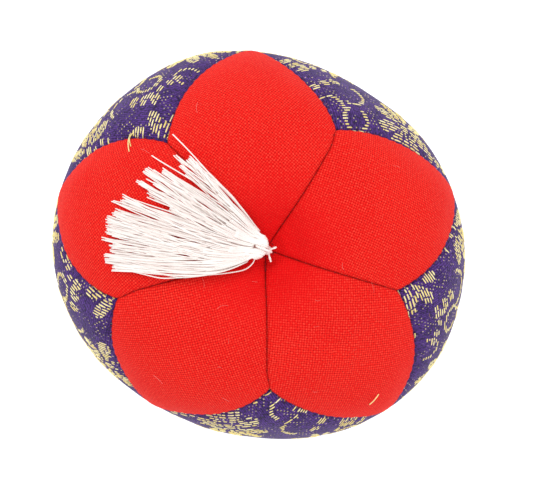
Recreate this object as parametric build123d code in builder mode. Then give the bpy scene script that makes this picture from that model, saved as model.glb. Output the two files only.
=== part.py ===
"""Flower pin cushion with a thread tassel, millimetres, +Z up, base on Z = 0.

Five plain petals meet at a tufted dimple on top. Five patterned gores rise between
them from the underside. Seam threads lie just under the cloth, around one stuffing.
The tassel is folded through a tie ring: it swivels about Z and lifts off the cushion.
"""

import os
from math import atan2, cos, degrees, radians, sin, sqrt, tan

from build123d import *

# Cushion section, drawn as tangent arcs from the top dimple to the bottom dimple
HEIGHT = 45.0
CROWN_RADIUS = 14.0  # where the top is highest, measured from the Z axis
UPPER_ARC = 24.0  # side arc above the girth, so the girth radius is 14 + 24 = 38
LOWER_ARC = 21.0  # side arc below the girth, ends on the flat base
GIRTH_Z = 21.0
DIMPLE_Z = 40.0  # floor of the top dimple
CREST_ARC = 12.0  # rounding between the crown and the top dimple
BASE_FLAT_INNER = 8.0  # the flat base runs from here out to 38 - 21 = 17
BASE_DIMPLE_Z = 3.0
BASE_ROUND = 7.0  # rounding between the flat base and the bottom dimple

# Cloth, threads and stuffing, as depths below the outer surface
CLOTH = 0.6
THREAD_TOP = 0.65
THREAD_BOTTOM = 0.9
STUFFING_DEPTH = 0.95
THREAD_WIDTH = 0.3
EYELET = 0.75  # radius of the small hole at each pole
SEAM_START = 2.2  # distance from the Z axis at which the seam threads begin
SEAM_END_GAP = 1.0  # from a petal tip down to the gore seam thread
NOTCH_GAP_SHARE = 0.03  # share of a scallop left free of thread at its notch
GATHER_OUTER = 1.7
GATHER_INNER = 1.4

# Tuft thread, from the knot in the bottom dimple up the middle
TUFT_RADIUS = 0.45
TUFT_KNOT_RADIUS = 1.1
TUFT_KNOT_Z = 1.7
TUFT_TOP_GAP = 0.3  # below the post of the tassel tie

# Panel layout, counter-clockwise. Angles are in degrees; headings are measured from +X,
# tilts from the zenith as seen from the middle of the girth. Petal n lies between
# petal seams n and n + 1; gore n is centred on petal seam n.
SEAM_HEADINGS = (60.0, 133.0, 198.0, 271.0, 342.5)
NOTCH_TILTS = (52.0, 54.0, 58.0, 52.0, 50.5)
TIP_HEADINGS = (92.0, 165.0, 236.0, 308.0, 376.0)
TIP_TILTS = (88.0, 90.0, 89.0, 84.0, 85.0)
SCALLOP_BULGE = (0.03, 0.08, 0.04, 0.04, 0.03)  # arc height over chord, per petal
CONE_ELEVATION = 20.0  # tilt of the plane each petal outline is drawn on

# Hand-sewn closing of one gore seam, a ladder stitch on the lower side arc
CLOSED_SEAM = 3
LADDER_START = 36.0  # degrees below the girth
LADDER_STEP = 6.0
LADDER_RUNGS = 7
LADDER_HALF_WIDTH = 1.0
LADDER_MARGIN = 3.0  # degrees between the end rungs and the ordinary seam
CUTTER_DEPTH = 4.0  # radial depth of the blocks that the stitches are cut with

# Tassel
TASSEL_HEADING = 158.0
TIE_RING_RADIUS = 1.45
TIE_THREAD = 0.3
KNOT_RADIUS = 0.9
KNOT_Z = 41.2
STUB_LENGTH = 2.2
STUB_HEADINGS = (20.0, 285.0)
STUB_RISE = 25.0
TIE_POST_END = 38.2
HINGE_REACH = 0.9  # from the Z axis to the middle of the fold's bend
HINGE_Z = 43.3
FOLD_TUBE = 0.8
FOLD_BEND = 1.8
FOLD_DROOP = 15.0  # the fold's plane tilts down towards the strands
FOLD_LEG = 1.0
NECK_START = 3.1
NECK_END = 4.6
NECK_HALF_WIDTH = 2.8
NECK_FAN_SPREAD = 50.0  # degrees each side of the tassel heading that the neck is cut from
TASSEL_CLEARANCE = 0.35
FAN_INNER_RADIUS = 2.0
FAN_INNER_DEPTH = 2.7  # depth of thread over the clearance, close to the tie
FAN_TAPER_RADII = (9.0, 16.0, 23.0)
FAN_TAPER_DEPTHS = (2.3, 1.9, 1.5)
FAN_TIP_DEPTH = 1.1
LOCK_EDGES = (126.0, 138.0, 151.0, 164.0, 177.0, 188.0)
LOCK_LENGTHS = (27.5, 28.5, 30.0, 30.5, 28.0)
LOCK_GAP = 1.0  # degrees of daylight between neighbouring locks

DIMPLE_DEPTH = HEIGHT - DIMPLE_Z
MOUTH_ARC = (CROWN_RADIUS**2 + DIMPLE_DEPTH**2) / (2 * DIMPLE_DEPTH) - CREST_ARC
BASE_ARC = (BASE_FLAT_INNER**2 + BASE_DIMPLE_Z**2) / (2 * BASE_DIMPLE_Z) - BASE_ROUND
GIRTH_RADIUS = CROWN_RADIUS + UPPER_ARC
LOWER_CENTRE = GIRTH_RADIUS - LOWER_ARC
CORE = Vector(0, 0, GIRTH_Z)
REACH = 60.0  # larger than any part of the cushion
CONE_START = 4.0  # distance from the core at which a petal's cone is first drawn
WALL_START = 10.0

os.makedirs("parts", exist_ok=True)


def save(part, name):
    """Label a finished sub-part and write it to its own STEP file."""
    part.label = name
    export_step(part, f"parts/{name}.step")


def cushion(inset):
    """The whole cushion as one revolved solid, its surface moved inwards by inset."""
    mouth_centre = (0, DIMPLE_Z + MOUTH_ARC)
    crest_centre = (CROWN_RADIUS, HEIGHT - CREST_ARC)
    round_centre = (BASE_FLAT_INNER, BASE_ROUND)
    hollow_centre = (0, BASE_DIMPLE_Z - BASE_ARC)
    mouth_angle = degrees(atan2(crest_centre[1] - mouth_centre[1], CROWN_RADIUS))
    hollow_angle = degrees(atan2(BASE_ROUND - hollow_centre[1], BASE_FLAT_INNER))
    with BuildPart() as body:
        with BuildSketch(Plane.XZ):
            with BuildLine():
                mouth = CenterArc(mouth_centre, MOUTH_ARC + inset, -90, 90 + mouth_angle)
                CenterArc(crest_centre, CREST_ARC - inset, 90, 90 + mouth_angle)
                CenterArc((CROWN_RADIUS, GIRTH_Z), UPPER_ARC - inset, 0, 90)
                lower = CenterArc((LOWER_CENTRE, GIRTH_Z), LOWER_ARC - inset, -90, 90)
                flat = Line(lower @ 0, (BASE_FLAT_INNER, inset))
                CenterArc(round_centre, BASE_ROUND - inset, -90, hollow_angle - 90)
                hollow = CenterArc(hollow_centre, BASE_ARC + inset, hollow_angle, 90 - hollow_angle)
                Line(hollow @ 1, mouth @ 0)
            make_face()
        revolve(axis=Axis.Z)
    return body.part


def layer(top, bottom):
    """The closed shell between two depths below the surface, pierced at both poles."""
    outer = cushion(top)
    inner = cushion(bottom)
    with BuildPart() as shell:
        add(outer)
        add(inner, mode=Mode.SUBTRACT)
        Cylinder(EYELET, 2 * REACH, mode=Mode.SUBTRACT)
    return shell.part


def direction(heading, tilt):
    """Unit vector at a heading from +X and a tilt from the zenith."""
    return Vector(
        sin(radians(tilt)) * cos(radians(heading)),
        sin(radians(tilt)) * sin(radians(heading)),
        cos(radians(tilt)),
    )


def surface_radius(tilt):
    """Distance from the Z axis of the surface seen at a tilt, on the upper side arc."""
    ray = CROWN_RADIUS * sin(radians(tilt)) + sqrt(
        UPPER_ARC**2 - (CROWN_RADIUS * cos(radians(tilt))) ** 2
    )
    return ray * sin(radians(tilt))


def surface_height(radius):
    """Height of the upper surface at a distance from the Z axis."""
    if radius > CROWN_RADIUS:
        return GIRTH_Z + sqrt(UPPER_ARC**2 - (radius - CROWN_RADIUS) ** 2)
    crest_start = CROWN_RADIUS * MOUTH_ARC / (MOUTH_ARC + CREST_ARC)
    if radius > crest_start:
        return HEIGHT - CREST_ARC + sqrt(CREST_ARC**2 - (CROWN_RADIUS - radius) ** 2)
    return DIMPLE_Z + MOUTH_ARC - sqrt(MOUTH_ARC**2 - radius**2)


def petal_plane(index, distance):
    """Drawing plane facing a petal tip, at a distance from the core."""
    normal = direction(TIP_HEADINGS[index], 90 - CONE_ELEVATION)
    sideways = direction(TIP_HEADINGS[index] + 90, 90)
    return Plane(CORE + normal * distance, x_dir=sideways, z_dir=normal)


def sight(index, distance, heading, tilt):
    """Where the line from the core at a heading and tilt pierces a petal's plane."""
    plane = petal_plane(index, distance)
    ray = direction(heading, tilt)
    point = plane.to_local_coords(CORE + ray * (distance / ray.dot(plane.z_dir)))
    return Vector(point.X, point.Y)


def petal_corners(index, distance):
    """Zenith, first notch, tip and second notch of a petal on its drawing plane."""
    after = (index + 1) % 5
    return (
        sight(index, distance, 0, 0),
        sight(index, distance, SEAM_HEADINGS[index], NOTCH_TILTS[index]),
        sight(index, distance, TIP_HEADINGS[index], TIP_TILTS[index]),
        sight(index, distance, SEAM_HEADINGS[after], NOTCH_TILTS[after]),
    )


def bulged(start, end, bulge, inside):
    """Middle point of an arc from start to end that bows away from an inside point."""
    chord = end - start
    across = Vector(-chord.Y, chord.X)
    if across.dot(inside - start) > 0:
        across = across * -1
    return start + chord * 0.5 + across * bulge


def petal_cone(index):
    """Everything seen from the core through one petal's outline."""
    with BuildPart() as cone:
        for distance in (CONE_START, REACH):
            zenith, first, tip, second = petal_corners(index, distance)
            with BuildSketch(petal_plane(index, distance)):
                with BuildLine():
                    Line(zenith, first)
                    ThreePointArc(first, bulged(first, tip, SCALLOP_BULGE[index], zenith), tip)
                    ThreePointArc(tip, bulged(tip, second, SCALLOP_BULGE[index], zenith), second)
                    Line(second, zenith)
                make_face()
        loft(ruled=True)
    return cone.part


def scallop_wall(index, side):
    """Thin wall from the core through one scallop, stopping just short of the notch."""
    with BuildPart() as wall:
        for distance in (WALL_START, REACH):
            corners = petal_corners(index, distance)
            zenith, notch, tip = corners[0], corners[side], corners[2]
            middle = bulged(notch, tip, SCALLOP_BULGE[index], zenith)
            start = notch + (tip - notch) * NOTCH_GAP_SHARE
            half = (tip - notch).normalized() * (THREAD_WIDTH / 2 * distance / GIRTH_RADIUS)
            aside = Vector(-half.Y, half.X)
            with BuildSketch(petal_plane(index, distance)):
                with BuildLine():
                    Line(start - aside, start + aside)
                    ThreePointArc(start + aside, middle + aside, tip + aside)
                    Line(tip + aside, tip - aside)
                    ThreePointArc(tip - aside, middle - aside, start - aside)
                make_face()
        loft(ruled=True)
    return wall.part


def sector(start, end):
    """Upright wedge about the Z axis between two headings less than 180 degrees apart."""
    far = REACH / cos(radians((end - start) / 2))
    with BuildPart() as wedge:
        with BuildSketch(Plane.XY.offset(-REACH)):
            with BuildLine():
                Polyline(
                    (0, 0),
                    (far * cos(radians(start)), far * sin(radians(start))),
                    (far * cos(radians(end)), far * sin(radians(end))),
                    close=True,
                )
            make_face()
        extrude(amount=2 * REACH)
    return wedge.part


def upright(heading):
    """Plane through the Z axis with its X along a heading and its Y up."""
    return Plane((0, 0, 0), x_dir=direction(heading, 90), z_dir=direction(heading - 90, 90))


cloth_layer = layer(0, CLOTH)
thread_layer = layer(THREAD_TOP, THREAD_BOTTOM)
petal_cones = [petal_cone(index) for index in range(5)]

# --- Petals: plain cloth, one per tip ---
for index in range(5):
    with BuildPart() as petal:
        add(cloth_layer)
        add(petal_cones[index], mode=Mode.INTERSECT)
    save(petal.part, f"petal_{index + 1}")

# --- Gores: patterned cloth, notch at the top, point at the bottom pole ---
for index in range(5):
    before = index - 1
    wedge = sector(TIP_HEADINGS[before] - (360 if index == 0 else 0), TIP_HEADINGS[index])
    with BuildPart() as gore:
        add(cloth_layer)
        add(wedge, mode=Mode.INTERSECT)
        add(petal_cones[before], mode=Mode.SUBTRACT)
        add(petal_cones[index], mode=Mode.SUBTRACT)
    save(gore.part, f"gore_{index + 1}")

# --- Petal seam threads: from the gathered centre out to each notch ---
for index, heading in enumerate(SEAM_HEADINGS):
    length = surface_radius(NOTCH_TILTS[index]) - THREAD_BOTTOM - SEAM_START
    with BuildPart() as petal_seam:
        with BuildSketch(upright(heading)):
            with Locations((SEAM_START + length / 2, HEIGHT)):
                Rectangle(length, HEIGHT)
        extrude(amount=THREAD_WIDTH / 2, both=True)
        add(thread_layer, mode=Mode.INTERSECT)
    save(petal_seam.part, f"petal_seam_{index + 1}")

# --- Scallop seam threads: both edges of each petal, meeting at its tip ---
for index in range(5):
    walls = [scallop_wall(index, side) for side in (1, 3)]
    with BuildPart() as scallop_seam:
        add(walls)
        add(thread_layer, mode=Mode.INTERSECT)
    save(scallop_seam.part, f"scallop_seam_{index + 1}")

# --- Closing stitches: ladder stitch across the gap the stuffing went in by ---
closed_heading = TIP_HEADINGS[CLOSED_SEAM - 1]
ladder_pitch = LOWER_ARC * radians(LADDER_STEP)
with BuildPart() as closing_stitches:
    for rung in range(LADDER_RUNGS):
        drop = LADDER_START + rung * LADDER_STEP
        rung_plane = upright(closed_heading)
        middle = rung_plane.from_local_coords(
            (
                LOWER_CENTRE + LOWER_ARC * cos(radians(drop)),
                GIRTH_Z - LOWER_ARC * sin(radians(drop)),
            )
        )
        outward = direction(closed_heading, 90 + drop)
        with Locations(Plane(middle, x_dir=direction(closed_heading + 90, 90), z_dir=outward)):
            Box(2 * LADDER_HALF_WIDTH, THREAD_WIDTH, CUTTER_DEPTH)
        if rung < LADDER_RUNGS - 1:
            side = LADDER_HALF_WIDTH if rung % 2 else -LADDER_HALF_WIDTH
            half_step = drop + LADDER_STEP / 2
            middle = rung_plane.from_local_coords(
                (
                    LOWER_CENTRE + LOWER_ARC * cos(radians(half_step)),
                    GIRTH_Z - LOWER_ARC * sin(radians(half_step)),
                    side,
                )
            )
            outward = direction(closed_heading, 90 + half_step)
            crosswise = direction(closed_heading + 90, 90)
            with Locations(Plane(middle, x_dir=crosswise, z_dir=outward)):
                Box(THREAD_WIDTH, ladder_pitch + THREAD_WIDTH, CUTTER_DEPTH)
    add(thread_layer, mode=Mode.INTERSECT)
save(closing_stitches.part, "closing_stitches")

# --- Gore seam threads: from just below each petal tip down to the bottom pole ---
ladder_top = GIRTH_Z - LOWER_ARC * sin(radians(LADDER_START - LADDER_MARGIN))
ladder_end = LADDER_START + LADDER_STEP * (LADDER_RUNGS - 1) + LADDER_MARGIN
ladder_bottom = GIRTH_Z - LOWER_ARC * sin(radians(ladder_end))
for index, heading in enumerate(TIP_HEADINGS):
    tip_radius = surface_radius(TIP_TILTS[index])
    seam_top = GIRTH_Z + tip_radius / tan(radians(TIP_TILTS[index])) - SEAM_END_GAP
    with BuildPart() as gore_seam:
        with BuildSketch(upright(heading)):
            with Locations((SEAM_START, seam_top)):
                Rectangle(REACH, REACH, align=(Align.MIN, Align.MAX))
            if index + 1 == CLOSED_SEAM:
                with Locations((GIRTH_RADIUS / 2, ladder_bottom)):
                    Rectangle(
                        REACH,
                        ladder_top - ladder_bottom,
                        align=(Align.MIN, Align.MIN),
                        mode=Mode.SUBTRACT,
                    )
        extrude(amount=THREAD_WIDTH / 2, both=True)
        add(thread_layer, mode=Mode.INTERSECT)
    save(gore_seam.part, f"gore_seam_{index + 1}")

# --- Stuffing: packed fibre, bored for the tuft thread ---
core = cushion(STUFFING_DEPTH)
with BuildPart() as stuffing:
    add(core)
    Cylinder(EYELET, 2 * REACH, mode=Mode.SUBTRACT)
save(stuffing.part, "stuffing")

# --- Tuft thread: pulled down the middle and knotted in the bottom dimple ---
with BuildPart() as tuft_thread:
    with Locations((0, 0, TUFT_KNOT_Z)):
        Sphere(TUFT_KNOT_RADIUS)
        Cylinder(
            TUFT_RADIUS,
            TIE_POST_END - TUFT_TOP_GAP - TUFT_KNOT_Z,
            align=(Align.CENTER, Align.CENTER, Align.MIN),
        )
save(tuft_thread.part, "tuft_thread")

# --- Gathering thread: draws the five petal points together under the cloth ---
with BuildPart() as gather_thread:
    Cylinder(GATHER_OUTER, 2 * HEIGHT, align=(Align.CENTER, Align.CENTER, Align.MIN))
    Cylinder(
        GATHER_INNER,
        2 * HEIGHT,
        align=(Align.CENTER, Align.CENTER, Align.MIN),
        mode=Mode.SUBTRACT,
    )
    with Locations((0, 0, GIRTH_Z)):
        Cylinder(
            REACH, REACH, align=(Align.CENTER, Align.CENTER, Align.MAX), mode=Mode.SUBTRACT
        )
    add(thread_layer, mode=Mode.INTERSECT)
save(gather_thread.part, "gather_thread")

# --- Tassel tie: ring through the fold, knot on the dimple, post down the eyelet ---
tassel_side = upright(TASSEL_HEADING)
hinge = tassel_side.from_local_coords((HINGE_REACH, HINGE_Z))
with BuildPart() as tassel_tie:
    with Locations(Plane(hinge, x_dir=tassel_side.x_dir, z_dir=tassel_side.z_dir)):
        Torus(TIE_RING_RADIUS, TIE_THREAD)
    with Locations((0, 0, KNOT_Z)):
        Sphere(KNOT_RADIUS)
    with Locations((0, 0, TIE_POST_END)):
        Cylinder(
            TUFT_RADIUS,
            KNOT_Z - TIE_POST_END,
            align=(Align.CENTER, Align.CENTER, Align.MIN),
        )
    for heading in STUB_HEADINGS:
        stub_direction = direction(heading, 90 - STUB_RISE)
        with Locations(Plane((0, 0, KNOT_Z), z_dir=stub_direction)):
            Cylinder(
                TIE_THREAD / 2,
                STUB_LENGTH,
                align=(Align.CENTER, Align.CENTER, Align.MIN),
            )
save(tassel_tie.part, "tassel_tie")


# --- Tassel: a bundle of threads folded over the tie ring, then fanned out ---
def tassel_fan(start, end, length):
    """Part of the fan between two headings, before its underside is cut."""
    radii = (FAN_INNER_RADIUS, *FAN_TAPER_RADII, length)
    depths = (FAN_INNER_DEPTH, *FAN_TAPER_DEPTHS, FAN_TIP_DEPTH)
    ridge = [
        (radius, surface_height(radius) + TASSEL_CLEARANCE + depth)
        for radius, depth in zip(radii, depths)
    ]
    with BuildPart() as fan:
        with BuildSketch(upright(start)):
            with BuildLine():
                Spline(*ridge)
                Polyline(ridge[-1], (length, GIRTH_Z), (ridge[0][0], GIRTH_Z), ridge[0])
            make_face()
        revolve(axis=Axis.Z, revolution_arc=end - start)
    return fan.part


swept_clearance = cushion(-TASSEL_CLEARANCE)
neck_fan = tassel_fan(
    TASSEL_HEADING - NECK_FAN_SPREAD, TASSEL_HEADING + NECK_FAN_SPREAD, LOCK_LENGTHS[0]
)
fold_plane = Plane(
    hinge,
    x_dir=direction(TASSEL_HEADING, 90 + FOLD_DROOP),
    z_dir=direction(TASSEL_HEADING, FOLD_DROOP),
)
with BuildPart() as tassel_fold:
    with BuildSketch(tassel_side):
        with Locations((NECK_START, HEIGHT)):
            Rectangle(NECK_END - NECK_START, HEIGHT, align=(Align.MIN, Align.CENTER))
    extrude(amount=NECK_HALF_WIDTH, both=True)
    add(neck_fan, mode=Mode.INTERSECT)
    add(swept_clearance, mode=Mode.SUBTRACT)
    bend_start = fold_plane.from_local_coords((FOLD_BEND, FOLD_BEND))
    with BuildSketch(Plane(bend_start, z_dir=fold_plane.x_dir)):
        Circle(FOLD_TUBE)
    bend_centre = fold_plane.from_local_coords((FOLD_BEND, 0))
    revolve(axis=Axis(bend_centre, fold_plane.z_dir), revolution_arc=180)
    for side in (-FOLD_BEND, FOLD_BEND):
        leg_start = fold_plane.from_local_coords((FOLD_BEND, side))
        with BuildSketch(Plane(leg_start, z_dir=fold_plane.x_dir)):
            Circle(FOLD_TUBE)
        extrude(amount=FOLD_LEG)
save(tassel_fold.part, "tassel_fold")

for number, length in enumerate(LOCK_LENGTHS):
    first = LOCK_EDGES[number] + LOCK_GAP / 2
    last = LOCK_EDGES[number + 1] - LOCK_GAP / 2
    lock_fan = tassel_fan(first, last, length)
    with BuildPart() as tassel_lock:
        with BuildSketch(tassel_side):
            with Locations((NECK_END, HEIGHT)):
                Rectangle(REACH, HEIGHT, align=(Align.MIN, Align.CENTER))
        extrude(amount=REACH, both=True)
        add(lock_fan, mode=Mode.INTERSECT)
        add(swept_clearance, mode=Mode.SUBTRACT)
    save(tassel_lock.part, f"tassel_lock_{number + 1}")
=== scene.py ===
import math

import bpy
import numpy as np
from mathutils import Matrix, Vector
from mathutils.bvhtree import BVHTree
from mathutils.geometry import barycentric_transform


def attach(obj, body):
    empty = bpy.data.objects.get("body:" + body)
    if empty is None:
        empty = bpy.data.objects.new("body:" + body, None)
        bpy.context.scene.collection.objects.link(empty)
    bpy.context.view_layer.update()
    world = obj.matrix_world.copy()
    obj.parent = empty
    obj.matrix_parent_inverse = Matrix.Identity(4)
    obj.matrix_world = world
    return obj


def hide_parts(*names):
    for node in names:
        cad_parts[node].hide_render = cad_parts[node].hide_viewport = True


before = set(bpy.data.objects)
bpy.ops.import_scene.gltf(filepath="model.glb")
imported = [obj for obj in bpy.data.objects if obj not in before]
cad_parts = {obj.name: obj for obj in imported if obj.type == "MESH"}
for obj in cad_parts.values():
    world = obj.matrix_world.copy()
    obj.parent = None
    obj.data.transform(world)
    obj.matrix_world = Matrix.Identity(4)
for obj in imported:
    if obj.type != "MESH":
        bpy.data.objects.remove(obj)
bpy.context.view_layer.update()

MM = 0.001

# Panel layout, as in the CAD: headings from +X and tilts from the zenith, in degrees
SEAM_HEADINGS = (60.0, 133.0, 198.0, 271.0, 342.5)
NOTCH_TILTS = (52.0, 54.0, 58.0, 52.0, 50.5)
TIP_HEADINGS = (92.0, 165.0, 236.0, 308.0, 376.0)
TIP_TILTS = (88.0, 90.0, 89.0, 84.0, 85.0)
SCALLOP_BULGE = (0.03, 0.08, 0.04, 0.04, 0.03)
CONE_ELEVATION = 20.0

# Seams that aren't quite straight: degrees of turn at the dimple end, and of bow
SEAM_HOOKS = (1.5, 0.3, 1.2, 1.5, 0.0)
SEAM_BOWS = (0.0, 0.0, 0.0, -4.0, -3.0)
EYELET = 0.5  # mm from the axis to the nearest cloth at a pole

# Section of the cushion, as in the CAD: tangent arcs, in mm
GIRTH_Z, CROWN_RADIUS = 21.0, 14.0
UPPER_ARC, LOWER_ARC, LOWER_CENTRE = 24.0, 21.0, 17.0
CREST_ARC, MOUTH_ARC, MOUTH_Z, MOUTH_TURN = 12.0, 10.1, 50.1, 39.31
BASE_INNER, BASE_ROUND, BASE_ARC, BASE_ARC_Z, BASE_TURN = 8.0, 7.0, 5.17, -2.17, 41.1
CREST_Z = GIRTH_Z + UPPER_ARC - CREST_ARC
CORE = np.array([0.0, 0.0, GIRTH_Z * MM])
UPWARD = np.array([0.0, 0.0, 1.0])

# The hand-stuffed round isn't quite even: (waves round the girth, share, heading)
ROUND_WAVES = (
    (1, 0.0136, -63.1), (2, 0.0490, -24.2), (3, 0.0091, -31.9), (4, 0.0066, 20.6), (5, 0.0066, 25.0)
)


def direction(heading, tilt):
    """Unit vectors at headings and tilts in degrees."""
    heading, tilt = np.radians(heading), np.radians(tilt)
    level = np.sin(tilt)
    return np.stack([level * np.cos(heading), level * np.sin(heading), np.cos(tilt) + 0 * heading], -1)


def polar(heading, reach=1.0):
    """x and y of a point at a heading in degrees."""
    return reach * math.cos(math.radians(heading)), reach * math.sin(math.radians(heading))


def unit(vectors):
    return vectors / np.maximum(np.linalg.norm(vectors, axis=-1, keepdims=True), 1e-12)


def smooth_step(low, high, value):
    t = np.clip((value - low) / (high - low), 0, 1)
    return t * t * (3 - 2 * t)


def add_object(name, data):
    item = bpy.data.objects.new(name, data)
    bpy.context.scene.collection.objects.link(item)
    return item


# --- Camera: nearly straight down, leaning a little towards the tassel ---
CAMERA_LEAN = 5.5
CAMERA_HEADING = 150.0
CAMERA_DISTANCE = 0.52
FRAME_WIDTH = 533 * 0.1905 * MM
AIM_RIGHT, AIM_UP = 1.5 * MM, 0.45 * MM  # from the core to the middle of the picture
back = direction(CAMERA_HEADING, CAMERA_LEAN)
up = unit(np.array([0.0, 1.0, 0.0]) - back * back[1])
right = np.cross(up, back)
camera = add_object("camera", bpy.data.cameras.new("camera"))
camera.data.lens = camera.data.sensor_width * CAMERA_DISTANCE / FRAME_WIDTH
camera.data.clip_start = 0.01
aim = CORE + right * AIM_RIGHT + up * AIM_UP
turn = Matrix((right, up, back)).transposed().to_4x4()
camera.matrix_world = Matrix.Translation(Vector(aim + back * CAMERA_DISTANCE)) @ turn
bpy.context.scene.camera = camera


# --- Mesh helpers ---
def add_mesh(name, points, faces, material, body="cushion"):
    """A smooth-shaded piece that rides on a body."""
    mesh = bpy.data.meshes.new(name)
    mesh.from_pydata([tuple(p) for p in points], [], [tuple(f) for f in faces])
    mesh.polygons.foreach_set("use_smooth", [True] * len(mesh.polygons))
    mesh.materials.append(material)
    piece = add_object(name, mesh)
    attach(piece, body)
    return piece


def frames(path, seed=None):
    """Two unit directions across a path at each of its points, carried along untwisted."""
    along = unit(np.gradient(path, axis=0))
    if seed is None:
        seed = (0.0, 0.0, 1.0) if abs(along[0][2]) < 0.9 else (1.0, 0.0, 0.0)
    side = np.zeros_like(path)
    side[0] = unit(np.cross(along[0], seed))
    for i in range(1, len(path)):
        side[i] = unit(side[i - 1] - along[i] * np.dot(side[i - 1], along[i]))
    return side, np.cross(along, side)


def tubes(paths, radius, sides):
    """Closed tubes along paths of points, as one list of points and one of faces."""
    turns = np.arange(sides) * 2 * math.pi / sides
    points, faces, start = [], [], 0
    for path in paths:
        path = np.asarray(path, float)
        side, other = frames(path)
        ring = np.cos(turns)[None, :, None] * side[:, None] + np.sin(turns)[None, :, None] * other[:, None]
        points.append((path[:, None] + ring * radius).reshape(-1, 3))
        last = start + (len(path) - 1) * sides
        for i in range(start, last, sides):
            for j in range(sides):
                k = (j + 1) % sides
                faces.append((i + j, i + k, i + sides + k, i + sides + j))
        faces.append(tuple(reversed(range(start, start + sides))))
        faces.append(tuple(range(last, last + sides)))
        start = last + sides
    return np.concatenate(points), faces


# --- Materials; the pattern coordinates of every panel are in millimetres ---
class Graph:
    """Short calls for building a material's node graph."""

    def __init__(self, name):
        self.material = bpy.data.materials.new(name)
        self.material.use_nodes = True
        self.tree = self.material.node_tree
        self.shader = self.tree.nodes["Principled BSDF"]

    def put(self, socket, value):
        if isinstance(value, bpy.types.NodeSocket):
            self.tree.links.new(value, socket)
        else:
            socket.default_value = value

    def node(self, kind, inputs, output=0, **settings):
        """The output of a new node with its inputs set or linked."""
        node = self.tree.nodes.new("ShaderNode" + kind)
        for name, value in settings.items():
            setattr(node, name, value)
        for socket, value in inputs.items():
            self.put(node.inputs[socket], value)
        return node.outputs[output]

    def math(self, operation, *values):
        return self.node("Math", dict(enumerate(values)), operation=operation)

    def times(self, a, b):
        return self.math("MULTIPLY", a, b)

    def plus(self, a, b):
        return self.math("ADD", a, b)

    def mix(self, factor, a, b):
        a, b = (tone + (1,) if isinstance(tone, tuple) else tone for tone in (a, b))
        return self.node("Mix", {0: factor, 6: a, 7: b}, 2, data_type="RGBA")

    def noise(self, vector, scale, detail=2.0):
        return self.node("TexNoise", {"Vector": vector, "Scale": scale, "Detail": detail}, "Fac")

    def ramp(self, value, low, high, to_low=0.0, to_high=1.0):
        inputs = dict(enumerate((value, low, high, to_low, to_high)))
        return self.node("MapRange", inputs, interpolation_type="SMOOTHSTEP")

    def bump(self, height, distance, strength=1.0, **below):
        return self.node("Bump", {"Distance": distance, "Strength": strength, "Height": height, **below})

    def split(self, vector):
        return self.node("SeparateXYZ", {0: vector}).node.outputs

    def rotate(self, vector, degrees):
        inputs = {"Vector": vector, "Angle": math.radians(degrees)}
        return self.node("VectorRotate", inputs, rotation_type="Z_AXIS")

    def threads(self, place):
        """0 between two threads rising to 0.5 at the middle of each, a thread per unit."""
        return self.math("PINGPONG", place, 0.5)

    def dome(self, thread):
        """The round height of a thread, 0 to 1."""
        return self.math("SQRT", self.times(thread, 2.0))

    def checks(self, rounding, a, b):
        """0 and 1 by turns over the cells of two coordinates."""
        total = self.plus(self.math(rounding, a), self.math(rounding, b))
        return self.math("MODULO", self.math("ABSOLUTE", total), 2.0)

    def chance(self, column, row):
        """A random number, 0 to 1, for each cell of two coordinates."""
        cell = self.node("CombineXYZ", {0: self.math("FLOOR", column), 1: self.math("FLOOR", row)})
        return self.node("TexWhiteNoise", {"Vector": cell}, "Value", noise_dimensions="2D")

    def island(self):
        return self.node("NewGeometry", {}, "Random Per Island")

    def seams(self, tone, low, high, most, dark):
        """The tone darkened close to a panel's seams."""
        shade = self.node("Attribute", {}, "Fac", attribute_name="seam_shade")
        return self.mix(self.ramp(shade, low, high, 0.0, most), tone, dark)

    def look(self, tone, normal, **values):
        """The finished material, with the shader's constant values by name."""
        self.put(self.shader.inputs["Base Color"], tone)
        if normal is not None:
            self.put(self.shader.inputs["Normal"], normal)
        for name, value in values.items():
            self.shader.inputs[name.replace("_", " ")].default_value = value
        return self.material


THREAD_PITCH = 0.46
THREAD_ANGLE = 40.0
FLOAT_PITCH = 0.6
FLOAT_ANGLE = 38.0  # gold weft against the gore's crosswise direction
RIB_PITCH = 0.42
DOT_PITCH = 0.84


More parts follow.
